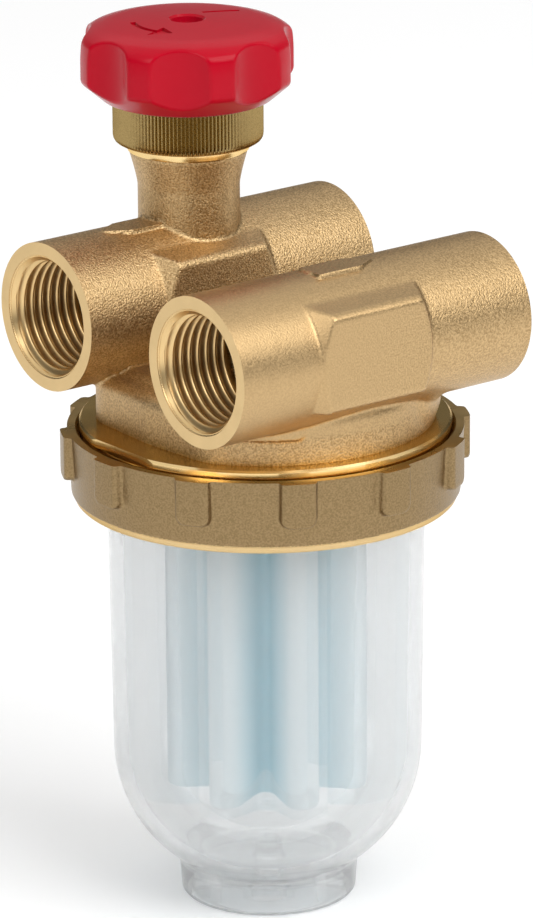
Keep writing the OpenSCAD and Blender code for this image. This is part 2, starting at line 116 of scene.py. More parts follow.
def make_object(name, points, faces):
    """An object from points in mm and a list of arrays of faces, each array (n, 3) or (n, 4)."""
    mesh = bpy.data.meshes.new(name)
    points = np.asarray(points, float) * MM
    mesh.vertices.add(len(points))
    mesh.vertices.foreach_set("co", points.astype(np.float32).ravel())
    faces = [np.asarray(f, np.int32) for f in faces if len(f)]
    corners = np.concatenate([f.ravel() for f in faces])
    sizes = np.concatenate([np.full(len(f), f.shape[1], np.int32) for f in faces])
    mesh.loops.add(len(corners))
    mesh.loops.foreach_set("vertex_index", corners)
    mesh.polygons.add(len(sizes))
    mesh.polygons.foreach_set("loop_start", (np.cumsum(sizes) - sizes).astype(np.int32))
    mesh.update(calc_edges=True)
    mesh.validate()
    obj = bpy.data.objects.new(name, mesh)
    bpy.context.scene.collection.objects.link(obj)
    if volume(mesh) < 0:
        mesh.flip_normals()
    return obj


def volume(mesh):
    """Signed volume, which is negative when the faces point inwards."""
    mesh.calc_loop_triangles()
    co = np.empty(len(mesh.vertices) * 3, np.float32)
    mesh.vertices.foreach_get("co", co)
    tri = np.empty(len(mesh.loop_triangles) * 3, np.int32)
    mesh.loop_triangles.foreach_get("vertices", tri)
    a, b, c = (co.reshape(-1, 3).astype(float)[tri.reshape(-1, 3)[:, i]] for i in range(3))
    return float((a * np.cross(b, c)).sum())


def lathe_points(rings, centre, segments, shape):
    """The points of a turned shape, and for each ring the number of each of its points."""
    angle = np.arange(segments) * TAU / segments
    points, index = [], []
    count = 0
    for i, (r, z) in enumerate(rings):
        if r < AXIS_SLACK:
            points.append(np.array([[centre[0], centre[1], z]]))
            index.append(np.full(segments, count))
            count += 1
            continue
        rr = r + (shape(angle, i) if shape else 0 * angle)
        x, y = centre[0] + rr * np.cos(angle), centre[1] + rr * np.sin(angle)
        points.append(np.stack([x, y, np.full(segments, z)], 1))
        index.append(count + np.arange(segments))
        count += segments
    return points, index


def lathe(name, rings, centre=(0.0, 0.0), segments=128, shape=None):
    """A profile of (radius, height) turned about the vertical through centre.

    A profile that starts and ends on the axis gives a solid, and one that stays off it gives a ring.
    shape(angle array, ring index) adds to the radius, for knurls and threads.
    """
    points, index = lathe_points(rings, centre, segments, shape)
    pairs = list(zip(range(len(rings) - 1), range(1, len(rings))))
    if rings[0][0] > AXIS_SLACK:
        pairs.append((len(rings) - 1, 0))
    quads, tris = [], []
    for i, j in pairs:
        a, b = index[i], index[j]
        a2, b2 = np.roll(a, -1), np.roll(b, -1)
        pole_a, pole_b = rings[i][0] < AXIS_SLACK, rings[j][0] < AXIS_SLACK
        if pole_a and pole_b:
            continue
        if pole_a:
            tris.append(np.stack([a, b2, b], 1))
        elif pole_b:
            tris.append(np.stack([a, a2, b], 1))
        else:
            quads.append(np.stack([a, a2, b2, b], 1))
    faces = [np.concatenate(group) for group in (quads, tris) if group]
    return make_object(name, np.concatenate(points), faces)


def turn_to_x(obj, x, y, z, direction):
    """Lays a lathed solid along X: its height runs from x in the given direction."""
    turn = Matrix.Rotation(direction * math.pi / 2, 4, "Y")
    obj.data.transform(Matrix.Translation(Vector((x, y, z)) * MM) @ turn)
    return obj


def rod_x(name, r, x0, x1, y, z, segments=96):
    rod = lathe(name, [(0, x0), (r, x0), (r, x1), (0, x1)], segments=segments)
    return turn_to_x(rod, 0, y, z, 1)


def prism(name, outline, z0, z1):
    """An upright prism on an outline of (x, y) points."""
    n = len(outline)
    low = np.array([(x, y, z0) for x, y in outline])
    high = np.array([(x, y, z1) for x, y in outline])
    i = np.arange(n)
    j = np.roll(i, -1)
    sides = np.stack([i, j, n + j, n + i], 1)
    mesh = bpy.data.meshes.new(name)
    faces = [tuple(int(v) for v in f) for f in sides]
    faces.append(tuple(range(n - 1, -1, -1)))
    faces.append(tuple(range(n, 2 * n)))
    mesh.from_pydata([tuple(p) for p in np.concatenate([low, high]) * MM], [], faces)
    mesh.update()
    obj = bpy.data.objects.new(name, mesh)
    bpy.context.scene.collection.objects.link(obj)
    if volume(mesh) < 0:
        mesh.flip_normals()
    return obj


def block(name, low, high):
    return prism(name, [(low[0], low[1]), (high[0], low[1]), (high[0], high[1]), (low[0], high[1])],
                 low[2], high[2])


def combine(obj, tools):
    """Runs exact booleans in order. tools is a list of (operation, object), and is used up."""
    for operation, tool in tools:
        step = obj.modifiers.new(operation, "BOOLEAN")
        step.operation = operation
        step.solver = "MANIFOLD"
        step.object = tool
    bpy.context.view_layer.update()
    graph = bpy.context.evaluated_depsgraph_get()
    mesh = bpy.data.meshes.new_from_object(obj.evaluated_get(graph))
    obj.modifiers.clear()
    old = obj.data
    obj.data = mesh
    bpy.data.meshes.remove(old)
    mesh.name = obj.name
    for _, tool in tools:
        data = tool.data
        bpy.data.objects.remove(tool)
        bpy.data.meshes.remove(data)
    return obj


# ------------------------------------------------------------------ signed distances

def both_round(a, b, r):
    """Intersection of two shapes, their shared edge rounded to radius r."""
    inner = np.minimum(-r, np.maximum(a, b))
    return inner + np.hypot(np.maximum(r + a, 0), np.maximum(r + b, 0))


def either_round(a, b, r):
    """Union of two shapes, with a fillet of radius r between them."""
    outer = np.maximum(r, np.minimum(a, b))
    return outer - np.hypot(np.maximum(r - a, 0), np.maximum(r - b, 0))


def either_soft(a, b, k):
    """Union with a soft blend over k, which hardly swells where the shapes run side by side."""
    h = np.maximum(k - np.abs(a - b), 0) / k
    return np.minimum(a, b) - h * h * k * 0.25


def plane_2d(u, v, p, q):
    """Distance to the line from p to q in the (u, v) plane, positive on its right-hand side."""
    du, dv = q[0] - p[0], q[1] - p[1]
    size = math.hypot(du, dv)
    return ((u - p[0]) * dv - (v - p[1]) * du) / size


def convex_2d(u, v, corners, r):
    """A convex outline, anticlockwise in (u, v), with its corners rounded to r."""
    d = None
    for p, q in zip(corners, corners[1:] + corners[:1]):
        side = plane_2d(u, v, p, q)
        d = side if d is None else both_round(d, side, r)
    return d


class Field:
    """A block of space sampled on a grid."""

    def __init__(self, low, high, step):
        self.low = np.array(low, float)
        self.step = step
        self.shape = tuple(int(math.ceil((b - a) / step)) + 1 for a, b in zip(low, high))
        x, y, z = (low[i] + step * np.arange(self.shape[i], dtype=np.float32) for i in range(3))
        self.x, self.y, self.z = x[:, None, None], y[None, :, None], z[None, None, :]

    def mesh(self, name, distance):
        """An object whose surface is where the distance is 0."""
        band = 3.0
        values = np.clip(np.broadcast_to(distance, self.shape) / self.step, -band, band)
        grid = vdb.FloatGrid(band)
        grid.copyFromArray(np.ascontiguousarray(values, np.float32))
        points, quads = grid.convertToQuads()
        return make_object(name, points * self.step + self.low, [quads])


# ------------------------------------------------------------------ the cast head

def run_distance(f, y):
    """A pipe run. It passes the port faces, which are cut later."""
    return np.hypot(f.y - y, f.z - PIPE_Z) - PIPE_R


def spanner_distance(f, y, side):
    """Raised flat on one side of a run, with a sloping top and drafted ends."""
    out = side * (f.y - y)
    up = f.z - PIPE_Z
    face, low, high, edge = PIPE_R + 0.45, -8.0, 9.3, 0.8
    left, right, draft = -14.6, 9.2, 0.8
    outline = convex_2d(out, up, [
        (0, low - 0.9), (9, low - 0.4), (face - edge, low), (face, low + edge),
        (face, high - edge), (face - edge, high), (7.5, 10.4), (0, 10.9),
    ], 0.3)
    inset = draft * np.maximum(np.hypot(out, up) - PIPE_R, 0)
    ends = np.maximum(left + inset - f.x, f.x - right + inset)
    return both_round(outline, ends, 0.2)


def crown_pad_distance(f, y, square_end, pointed_end):
    """Flat casting mark on the crown of a run."""
    toward = 1 if pointed_end > square_end else -1
    along = toward * (f.x - square_end)
    length = abs(pointed_end - square_end)
    half_w, tip_w, tip_length, off_crown, height = 2.9, 0.7, 4, 0.6, 0.35
    across = np.abs(f.y - y + off_crown)
    tip = plane_2d(along, across, (length, tip_w), (length - tip_length, half_w))
    outline = both_round(both_round(across - half_w, tip, 0.3), np.maximum(-along, along - length), 0.2)
    top = f.z - PIPE_Z - PIPE_R - height
    return np.maximum(np.maximum(outline, top), PIPE_Z - f.z)


def neck_distance(f):
    """The valve's neck, flaring out under the collar."""
    rho = np.hypot(f.x, f.y - REAR_Y)
    flare_bottom, flare_h, flare_out, root, top = 124.6, 6.2, 1.5, 100.0, 130.9
    t = np.clip((f.z - flare_bottom) / flare_h, 0, 1)
    radius = NECK_R + flare_out * t ** 1.25
    return np.maximum(both_round(rho - radius, f.z - top, 0.25), root - f.z)


def shelf_distance(f):
    """Low shelf on the base's wall, under the return run."""
    rho = np.hypot(f.x, f.y)
    along = np.arctan2(f.y, f.x) * BASE_R
    middle, half_w, out = math.radians(-128) * BASE_R, 7.8, 0.7
    bottom, top, root = 91.9, 97, 3
    shelf = both_round(rho - BASE_R - out, bottom - f.z, 0.3)
    shelf = both_round(shelf, np.abs(along - middle) - half_w, 3.0)
    return np.maximum(shelf, np.maximum(f.z - top, BASE_R - root - rho))


def base_distance(f):
    """Round base with slightly pointed ends, and the lower web on top of it."""
    slope_run, slope_rise, slope_length = 29.3, 2, 29.37
    prow = (slope_run * (np.abs(f.x) - BASE_HALF) + slope_rise * np.abs(f.y)) / slope_length
    outline = both_round(np.hypot(f.x, f.y) - BASE_R, prow, 1.2)
    base = both_round(outline, f.z - WALL_TOP, 2.4)
    web = both_round(outline + WEB_INSET, f.z - WEB_TOP, 1.1)
    return either_round(base, web, 1.6)


def belly_distance(f):
    """Swelling under the valve side of the return run."""
    radius, back, drop = 14.4, 2.3, 2
    left, right, inner_y, bottom, top = 14, 24.4, 9, 88.4, 99.4
    belly = np.hypot(f.y - FRONT_Y - back, f.z - PIPE_Z + drop) - radius
    belly = both_round(belly, np.maximum(left - f.x, f.x - right), 2.5)
    belly = both_round(belly, np.maximum(f.y + inner_y, np.hypot(f.x, f.y) - BASE_R - 0.2), 1.5)
    return np.maximum(belly, np.maximum(bottom - f.z, f.z - top))


def head_distance(f):
    runs = np.minimum(run_distance(f, FRONT_Y), run_distance(f, REAR_Y))
    body = either_round(base_distance(f), runs, 0.7)
    body = either_round(body, belly_distance(f), 3.2)
    body = either_round(body, shelf_distance(f), 0.5)
    for y in (FRONT_Y, REAR_Y):
        for side in (-1, 1):
            body = either_soft(body, spanner_distance(f, y, side), 0.3)
    body = np.minimum(body, crown_pad_distance(f, FRONT_Y, -7.5, 5.5))
    body = np.minimum(body, crown_pad_distance(f, REAR_Y, 0, -19))
    return either_round(body, neck_distance(f), 0.45)


def thread_wave(turns):
    """Whitworth form over one pitch: 0 at the root and 1 at the crest, both rounded."""
    rise = np.clip((np.abs((turns % 1.0) - 0.5) * 2 - 0.05) / 0.8, 0, 1)
    return 0.35 * rise + 0.65 * (0.5 - 0.5 * np.cos(math.pi * rise))


def port_thread(name, end, y):
    """The threaded wall of a port, as a ring that is let into the run."""
    start, stop, row = 0.26, PORT_DEPTH + 0.4, 0.11
    depth = np.arange(start, stop, row)
    cone = MOUTH_R - 0.8 * depth
    last = np.clip((stop - 1.0 - depth) / 1.2, 0, 1)
    outer = PORT_R + 0.3
    rings = [(PORT_R, d) for d in depth] + [(outer, depth[-1]), (outer, depth[0])]

    def shape(angle, i):
        if i >= len(depth):
            return 0 * angle
        wave = thread_wave(depth[i] / PORT_PITCH - angle / TAU)
        inner = PORT_R - PORT_THREAD_DEPTH * wave * last[i]
        return np.maximum(inner, cone[i]) - PORT_R

    ring = lathe(name, rings, segments=96, shape=shape)
    return turn_to_x(ring, end * HALF_LENGTH, y, PIPE_Z, -end)


def union_thread(rings, first, last):
    """shape() for the rings that carry the union thread, which is cut inwards from their radius."""

    def shape(angle, i):
        if not first <= i <= last:
            return 0 * angle
        fade = min(1.0, (i - first) / 6, (last - i) / 6)
        return -UNION_THREAD_DEPTH * thread_wave(rings[i][1] / UNION_PITCH - angle / TAU) * fade

    return shape


def spigot_and_collar():
    """The threaded spigot with its flange, and the turned collar of the neck."""
    low, under = HEAD_BOTTOM, FLANGE_TOP - FLANGE_H
    rows = [(FLANGE_R - 0.45, z) for z in np.arange(low + 0.9, under - 0.6, UNION_THREAD_ROW)]
    rings = [(0, low), (FLANGE_R - 1.3, low)] + rows
    first, last = 2, len(rings) - 1
    rings += [
        (FLANGE_R - 1.2, under - 0.5), (FLANGE_R - 1.2, under), (FLANGE_R - 0.3, under),
        (FLANGE_R, under + 0.2), (FLANGE_R, FLANGE_TOP - 0.35), (FLANGE_R - 0.35, FLANGE_TOP),
        (0, FLANGE_TOP),
    ]
    spigot = lathe("spigot", rings, segments=160, shape=union_thread(rings, first, last))
    collar = lathe("collar", [
        (0, 128), (9.6, 128), (10.3, 130.75), (10.62, 130.9), (10.7, 131.1), (10.7, COLLAR_TOP - 0.35),
        (10.35, COLLAR_TOP), (0, COLLAR_TOP),
    ], centre=(0, REAR_Y))
    return [spigot, collar]


def port_cuts():
    """What faces the four ports and opens their bores."""
    cuts = []
    far = HALF_LENGTH + 5
    for side in (-1, 1):
        edge = sorted((side * HALF_LENGTH, side * far))
        cuts.append(block(f"end_{side}", (edge[0], -60, 60), (edge[1], 60, 160)))
    for y in (FRONT_Y, REAR_Y):
        for end in (-1, 1):
            bore = lathe("bore", [
                (0, -2), (MOUTH_R + 0.12, -2), (MOUTH_R + 0.12, 0.12), (PORT_R, 0.4),
                (PORT_R, PORT_DEPTH), (PORT_R - 2.4, PORT_DEPTH + 1.6), (0, PORT_DEPTH + 1.6),
            ], segments=96)
            cuts.append(turn_to_x(bore, end * HALF_LENGTH, y, PIPE_Z, -end))
    return cuts


def passage_cuts():
    """The oil's way: through the runs, the valve's seat, the cup's chamber, the socket and the riser."""
    low = HEAD_BOTTOM - 1
    reach = HALF_LENGTH - PORT_DEPTH + 1
    cuts = [
        rod_x("passage", 7.5, -reach, reach, FRONT_Y, PIPE_Z),
        rod_x("feed", 5.5, -reach, 0, REAR_Y, PIPE_Z, 64),
        rod_x("burner", 5.5, 9, reach, REAR_Y, PIPE_Z, 64),
    ]
    cuts.append(lathe("valve_bore", [
        (0, 87), (4, 87), (4, SEAT_Z), (5, SEAT_Z), (5, SEAT_Z - 0.8), (NECK_BORE_R, SEAT_Z - 0.8),
        (NECK_BORE_R, COLLAR_TOP + 1), (0, COLLAR_TOP + 1),
    ], centre=(0, REAR_Y), segments=64))
    cuts.append(lathe("chamber", [(11.5, low), (25.4, low), (25.4, 88), (11.5, 88)], segments=96))
    cuts.append(lathe("socket", [(0, low), (8, low), (8, GALLERY_Z), (0, GALLERY_Z)], segments=64))
    cuts.append(lathe("groove", [(27.9, low), (30.7, low), (30.7, 81.4), (27.9, 81.4)]))
    riser_x = 12.0
    cross = rod_x("cross", 3.0, 0, math.hypot(riser_x, REAR_Y), 0, 0, 32)
    turn = Matrix.Rotation(math.atan2(REAR_Y, riser_x), 4, "Z")
    cross.data.transform(Matrix.Translation((0, 0, GALLERY_Z * MM)) @ turn)
    cuts.append(cross)
    cuts.append(lathe("riser", [(0, 89.3), (3.4, 89.3), (3.4, PIPE_Z), (0, PIPE_Z)],
                      centre=(riser_x, REAR_Y), segments=32))
    return cuts


def make_head():
    casting_bottom = 87.0
    f = Field((-33, -35.2, 86.6), (33, 35.6, 131.6), 0.36)
    head = f.mesh("head_casting", np.maximum(head_distance(f), casting_bottom - f.z))
    tools = [("UNION", part) for part in spigot_and_collar()]
    tools += [("DIFFERENCE", cut) for cut in port_cuts() + passage_cuts()]
    return combine(head, tools)


# ------------------------------------------------------------------ union nut

def nut_distance(f):
    rho = np.hypot(f.x, f.y)
    waist_in, taper, taper_bottom, taper_h, bottom = 0.9, 0.6, 74.8, 11, 74.2
    lug_half_w, lug_h, draft_slope = 3.15, 8.0, 0.25
    wall = rho - (NUT_R - waist_in + taper * np.clip((f.z - taper_bottom) / taper_h, 0, 1))
    body = both_round(wall, bottom - f.z, 0.5)
    pitch = TAU / NUT_LUGS
    offset = math.radians(1.0)
    angle = np.mod(np.arctan2(f.y, f.x) - offset + pitch / 2, pitch) - pitch / 2
    across = np.abs(rho * np.sin(angle))
    draft = draft_slope * np.maximum(rho - NUT_R, 0)
    lug = both_round(across + draft - lug_half_w, NUT_TOP - lug_h - f.z, 1.6)
    lug = both_round(lug, rho - LUG_R + 0.02, 0.5)
    return either_round(body, lug, 0.4)


def make_nut():
    f = Field((-36.4, -36.4, 73.4), (36.4, 36.4, 88), 0.3)
    nut = f.mesh("union_nut_casting", np.maximum(nut_distance(f), f.z - 87.2))
    foot = lathe("foot", [
        (0, NUT_BOTTOM), (32.9, NUT_BOTTOM), (33.2, NUT_BOTTOM + 0.3), (33.45, NUT_BOTTOM + 1.15),
        (33.0, NUT_BOTTOM + 1.6), (0, NUT_BOTTOM + 1.6),
    ], segments=192)
    floor = NUT_BOTTOM + NUT_LIP_H
    rows = [(NUT_BORE_R, z) for z in np.arange(floor + 0.8, NUT_TOP - 1.2, UNION_THREAD_ROW)]
    rings = [(0, floor), (NUT_BORE_R, floor)] + rows
    first, last = 2, len(rings) - 1
    rings += [(NUT_BORE_R, NUT_TOP - 0.4), (NUT_BORE_R + 2.4, NUT_TOP + 2), (0, NUT_TOP + 2)]
    bore = lathe("nut_bore", rings, segments=160, shape=union_thread(rings, first, last))
    hole = lathe("nut_hole", [
        (0, NUT_BOTTOM - 1), (NUT_LIP_R + 0.3, NUT_BOTTOM - 1), (NUT_LIP_R + 0.3, NUT_BOTTOM),
        (NUT_LIP_R, NUT_BOTTOM + 0.3), (NUT_LIP_R, floor + 1), (0, floor + 1),
    ], segments=160)
    top = block("nut_top", (-40, -40, NUT_TOP), (40, 40, NUT_TOP + 4))
    cuts = [("DIFFERENCE", cut) for cut in (top, bore, hole)]
    return combine(nut, [("UNION", foot)] + cuts)


# ------------------------------------------------------------------ cup

def arc(cx, cz, r, a0, a1, steps):
    angles = np.radians(np.linspace(a0, a1, steps + 1))
    return [(cx + r * math.cos(a), cz + r * math.sin(a)) for a in angles]


def make_cup():
    body_r, rho = 27.07, 25.0
    dome_z = 27.8
    cx = body_r - rho
    inner = rho - CUP_WALL
    foot_in = FOOT_R - 2.8
    join = FOOT_R + 0.9
    join_angle = -math.degrees(math.acos((join - cx) / rho))
    foot_angle = -math.degrees(math.acos((foot_in - 0.6 - cx) / rho))
    floor_z = dome_z - inner
    peg_r, peg_top = 2.4, 8.6
    join_z = dome_z + rho * math.sin(math.radians(join_angle))
    profile = [(0, peg_top)]
    profile += [(peg_r - 0.35, peg_top), (peg_r, peg_top - 0.35), (peg_r, floor_z + 0.5),
                (peg_r + 0.35, floor_z + 0.06)]
    profile += arc(cx, dome_z, inner, -89.5, 0, 48)
    profile += [(CUP_R - CUP_WALL, CUP_TOP), (CUP_RIM_R - 0.4, CUP_TOP), (CUP_RIM_R, CUP_TOP - 0.4),
                (CUP_RIM_R, CUP_TOP - 1.9), (CUP_RIM_R - 0.3, CUP_TOP - 2.2),
                (CUP_R + 0.3, CUP_TOP - 2.2), (CUP_R, CUP_TOP - 2.6)]
    profile += arc(cx, dome_z, rho, 0, join_angle, 44)
    profile += [(FOOT_R + 0.35, join_z - 0.55), (FOOT_R + 0.1, join_z - 1.3)]
    profile += [(FOOT_R - 0.3, 1.1)]
    profile += arc(FOOT_R - 1.3, 1.0, 1.0, 0, -90, 6)
    profile += arc(foot_in + 0.6, 0.6, 0.6, -90, -180, 5)
    profile += arc(cx, dome_z, rho, foot_angle, -88, 12)
    profile += [(3.2, dome_z - rho), (3.0, dome_z - rho - 0.25), (3.0, 0.25), (2.75, 0.0), (0, 0.0)]
    return lathe("cup_clear", profile, segments=192)


# ------------------------------------------------------------------ filter element

def star_outline():
    """Round tips and round valleys, joined by straight flanks."""
    tip_r, valley, valley_r = STAR_TIP_R, STAR_VALLEY, STAR_VALLEY_R
    half = math.pi / STAR_LOBES
    tip_x = STAR_R - tip_r
    vx, vy = (valley + valley_r) * math.cos(half), (valley + valley_r) * math.sin(half)
    span = math.hypot(vx - tip_x, vy)
    touch = math.atan2(vy, vx - tip_x) - math.acos((tip_r + valley_r) / span)
    sweep = touch - half
    points = []
    for i in range(STAR_LOBES):
        turn = i * TAU / STAR_LOBES
        lobe = [(tip_x + tip_r * math.cos(a), tip_r * math.sin(a)) for a in np.linspace(-touch, touch, 14)]
        lobe += [(vx + valley_r * math.cos(a), vy + valley_r * math.sin(a))
                 for a in np.linspace(touch + math.pi, touch + math.pi - 2 * sweep, 9)]
        c, s = math.cos(turn), math.sin(turn)
        points += [(x * c - y * s, x * s + y * c) for x, y in lobe]
    turn = math.radians(STAR_VALLEY_FACING - 180 / STAR_LOBES)
    c, s = math.cos(turn), math.sin(turn)
    return [(x * c - y * s, x * s + y * c) for x, y in points]


def outline_distance(x, y, outline):
    """Signed distance to a closed outline, negative inside."""
    px, py = np.broadcast_arrays(x, y)
    best = np.full(px.shape, 1e9)
    inside = np.zeros(px.shape, bool)
    for (ax, ay), (bx, by) in zip(outline, outline[1:] + outline[:1]):
        ex, ey = bx - ax, by - ay
        t = np.clip(((px - ax) * ex + (py - ay) * ey) / (ex * ex + ey * ey), 0, 1)
        best = np.minimum(best, np.hypot(px - ax - t * ex, py - ay - t * ey))
        if ay != by:
            inside ^= ((ay > py) != (by > py)) & (px < ex * (py - ay) / ey + ax)
    return np.where(inside, -best, best).astype(np.float32)


def make_element():
    f = Field((-18.6, -18.6, STAR_BOTTOM - 1), (18.6, 18.6, STAR_TOP + 1), 0.36)
    flat = outline_distance(f.x, f.y, star_outline())
    outside = both_round(flat, STAR_BOTTOM - f.z, 0.7)
    inside = np.maximum(flat + STAR_WALL, STAR_BOTTOM + STAR_FLOOR - f.z)
    shell = np.maximum(outside, -inside)
    return f.mesh("element_star", np.maximum(shell, f.z - STAR_TOP))


# ------------------------------------------------------------------ bonnet

def make_bonnet():
    knurl_count, knurl_depth = 118, 0.38
    bore_r, pocket_r, pocket_bottom = 4.45, 7.6, 140.8
    shank_r, shank_bottom, groove_r, seal_z = 6.7, 119.6, 5.4, 129.5
    rings = [
        (bore_r, shank_bottom), (shank_r - 0.4, shank_bottom), (shank_r, shank_bottom + 0.4),
        (shank_r, seal_z - 0.8), (groove_r, seal_z - 0.8), (groove_r, seal_z + 0.8),
        (shank_r, seal_z + 0.8), (shank_r, COLLAR_TOP), (BONNET_R - 1.5, COLLAR_TOP),
        (BONNET_R - 0.75, COLLAR_TOP + 0.12),
    ]
    first = len(rings)
    rings += [(BONNET_R - 0.32, COLLAR_TOP + 0.38), (BONNET_R - 0.08, COLLAR_TOP + 0.8),
              (BONNET_R, COLLAR_TOP + 1.3)]
    rings += [(BONNET_R, z) for z in np.linspace(COLLAR_TOP + 2.5, BONNET_TOP - 1.2, 6)]
    rings += [(BONNET_R - 0.05, BONNET_TOP - 0.6)]
    last = len(rings) - 1
    rings += [(BONNET_R - 0.6, BONNET_TOP), (pocket_r, BONNET_TOP), (pocket_r, pocket_bottom),
              (bore_r, pocket_bottom)]

    def shape(angle, i):
        if not first <= i <= last:
            return 0 * angle
        wave = np.abs(np.mod(angle * knurl_count / TAU, 1.0) - 0.5) * 2
        return -knurl_depth * np.clip(wave * 1.1 - 0.05, 0, 1)

    return lathe("bonnet_knurled", rings, centre=(0, REAR_Y), segments=knurl_count * 8, shape=shape)


# ------------------------------------------------------------------ handwheel

def wheel_distance(f):
    x, y = f.x, f.y - REAR_Y
    rho = np.hypot(x, y)
    side_low, side_high = 143.6, 149.4
    body = convex_2d(rho, f.z, [
        (-5, WHEEL_BOTTOM), (14.5, WHEEL_BOTTOM), (WHEEL_R, side_low), (WHEEL_R, side_high),
        (WHEEL_R - 0.35, side_high + 1.6), (WHEEL_R - 1.6, side_high + 2.8), (14.95, 153.07),
        (10.42, 153.67), (2.9, WHEEL_TOP), (-5, WHEEL_TOP + 0.4),
    ], 0.5)
    flutes = None
    for i in range(FLUTES):
        a = math.radians(FLUTE_ANGLE) + i * TAU / FLUTES
        d = FLUTE_R - np.hypot(x - FLUTE_REACH * math.cos(a), y - FLUTE_REACH * math.sin(a))
        flutes = d if flutes is None else np.maximum(flutes, d)
    return both_round(body, flutes, 0.35)


def polar(r, degrees):
    a = math.radians(degrees)
    return (r * math.cos(a), REAR_Y + r * math.sin(a))


def wheel_marks():
    """Engraved marks: a turning arrow on one side and a plain bar on the other."""
    floor, over, steps = 153.1, 156, 16
    middle, half_w, a0, a1 = 9.4, 0.5, 150, 198
    angles = [a0 + (a1 - a0) * i / steps for i in range(steps + 1)]
    band = [polar(middle - half_w, a) for a in angles] + [polar(middle + half_w, a) for a in angles[::-1]]
    arrow = [polar(middle - 2.4, a1 - 1), polar(middle + 2.4, a1 - 1), polar(middle + 0.1, a1 + 20)]
    outlines = [band, arrow]
    start, end, half_bar = (4.9, 2.0), (11.6, 0.2), 0.5
    length = math.hypot(end[0] - start[0], end[1] - start[1])
    side = ((start[1] - end[1]) / length * half_bar, (end[0] - start[0]) / length * half_bar)
    bar = [(p[0] + k * side[0], REAR_Y + p[1] + k * side[1]) for p, k in
           ((start, -1), (end, -1), (end, 1), (start, 1))]
    outlines.append(bar)
    return [prism(f"mark_{i}", outline, floor, over) for i, outline in enumerate(outlines)]


def make_wheel():
    hub_r, hub_bottom, square, square_top = 7.0, 145.6, 5.6, 149.6
    hollow_r, hollow_top, well_r = 13.6, 148.5, 2.9
    f = Field((-19.6, REAR_Y - 19.6, WHEEL_BOTTOM - 0.6), (19.6, REAR_Y + 19.6, WHEEL_TOP + 0.8), 0.2)
    wheel = f.mesh("handwheel_fluted", wheel_distance(f))
    centre = (0, REAR_Y)
    hollow = lathe("hollow", [
        (hub_r, hollow_top), (hub_r, hub_bottom), (0.0, hub_bottom), (0.0, WHEEL_BOTTOM - 1),
        (hollow_r + 0.5, WHEEL_BOTTOM - 1), (hollow_r + 0.5, WHEEL_BOTTOM), (hollow_r, WHEEL_BOTTOM + 0.5),
        (hollow_r, hollow_top - 0.6), (hollow_r - 0.6, hollow_top),
    ], centre=centre)
    well = lathe("well", [
        (0, square_top), (well_r, square_top), (well_r, WHEEL_TOP - 0.55), (well_r + 0.5, WHEEL_TOP + 0.05),
        (well_r + 0.5, WHEEL_TOP + 2), (0, WHEEL_TOP + 2),
    ], centre=centre)
    socket = block("socket", (-square / 2, REAR_Y - square / 2, hub_bottom - 1),
                   (square / 2, REAR_Y + square / 2, square_top + 0.2))
    cuts = [hollow, well, socket] + wheel_marks()
    return combine(wheel, [("DIFFERENCE", c) for c in cuts])


# ------------------------------------------------------------------ materials

class Shader:
    """A Principled material and a few short ways to wire it."""

    def __init__(self, name, **values):
        self.material = bpy.data.materials.new(name)
        self.material.use_nodes = True
        self.tree = self.material.node_tree
        self.shader = next(n for n in self.tree.nodes if n.type == "BSDF_PRINCIPLED")
        for key, value in values.items():
            self.shader.inputs[key.replace("_", " ")].default_value = value
        self.place = self.node("ShaderNodeTexCoord").outputs["Object"]

    def node(self, kind, **settings):
        made = self.tree.nodes.new(kind)
        for key, value in settings.items():
            setattr(made, key, value)
        return made

    def link(self, source, target):
        self.tree.links.new(source, target)

    def noise(self, size_mm, detail=2.0, stretch=(1, 1, 1)):
        """Noise whose features are about size_mm across."""
        place = self.node("ShaderNodeMapping")
        place.inputs["Scale"].default_value = [s / (size_mm * MM) for s in stretch]
        self.link(self.place, place.inputs["Vector"])
        made = self.node("ShaderNodeTexNoise")
        made.inputs["Scale"].default_value = 1.0
        made.inputs["Detail"].default_value = detail
        made.inputs["Roughness"].default_value = 0.5
        self.link(place.outputs["Vector"], made.inputs["Vector"])
        return made.outputs["Fac"]

    def ramp(self, source, stops):
        made = self.node("ShaderNodeValToRGB")
        points = made.color_ramp.elements
        while len(points) < len(stops):
            points.new(0.5)
        for point, (place, colour) in zip(points, stops):
            point.position = place
            point.color = (*colour, 1)
        self.link(source, made.inputs["Fac"])
        return made.outputs["Color"]

    def span(self, source, low, high, to_low, to_high):
        made = self.node("ShaderNodeMapRange")
        made.inputs["From Min"].default_value = low
        made.inputs["From Max"].default_value = high
        made.inputs["To Min"].default_value = to_low
        made.inputs["To Max"].default_value = to_high
        self.link(source, made.inputs["Value"])
        return made.outputs["Result"]

    def bump(self, layers):
        """Bump from (height source, strength, depth in mm) layers, one on top of the other."""
        normal = None
        for source, strength, depth in layers:
            made = self.node("ShaderNodeBump")
            made.inputs["Strength"].default_value = strength
            made.inputs["Distance"].default_value = depth * MM
            self.link(source, made.inputs["Height"])
            if normal is not None:
                self.link(normal, made.inputs["Normal"])
            normal = made.outputs["Normal"]
        self.link(normal, self.shader.inputs["Normal"])
        return self

    def colour(self, source):
        self.link(source, self.shader.inputs["Base Color"])

    def rough(self, source):
        self.link(source, self.shader.inputs["Roughness"])


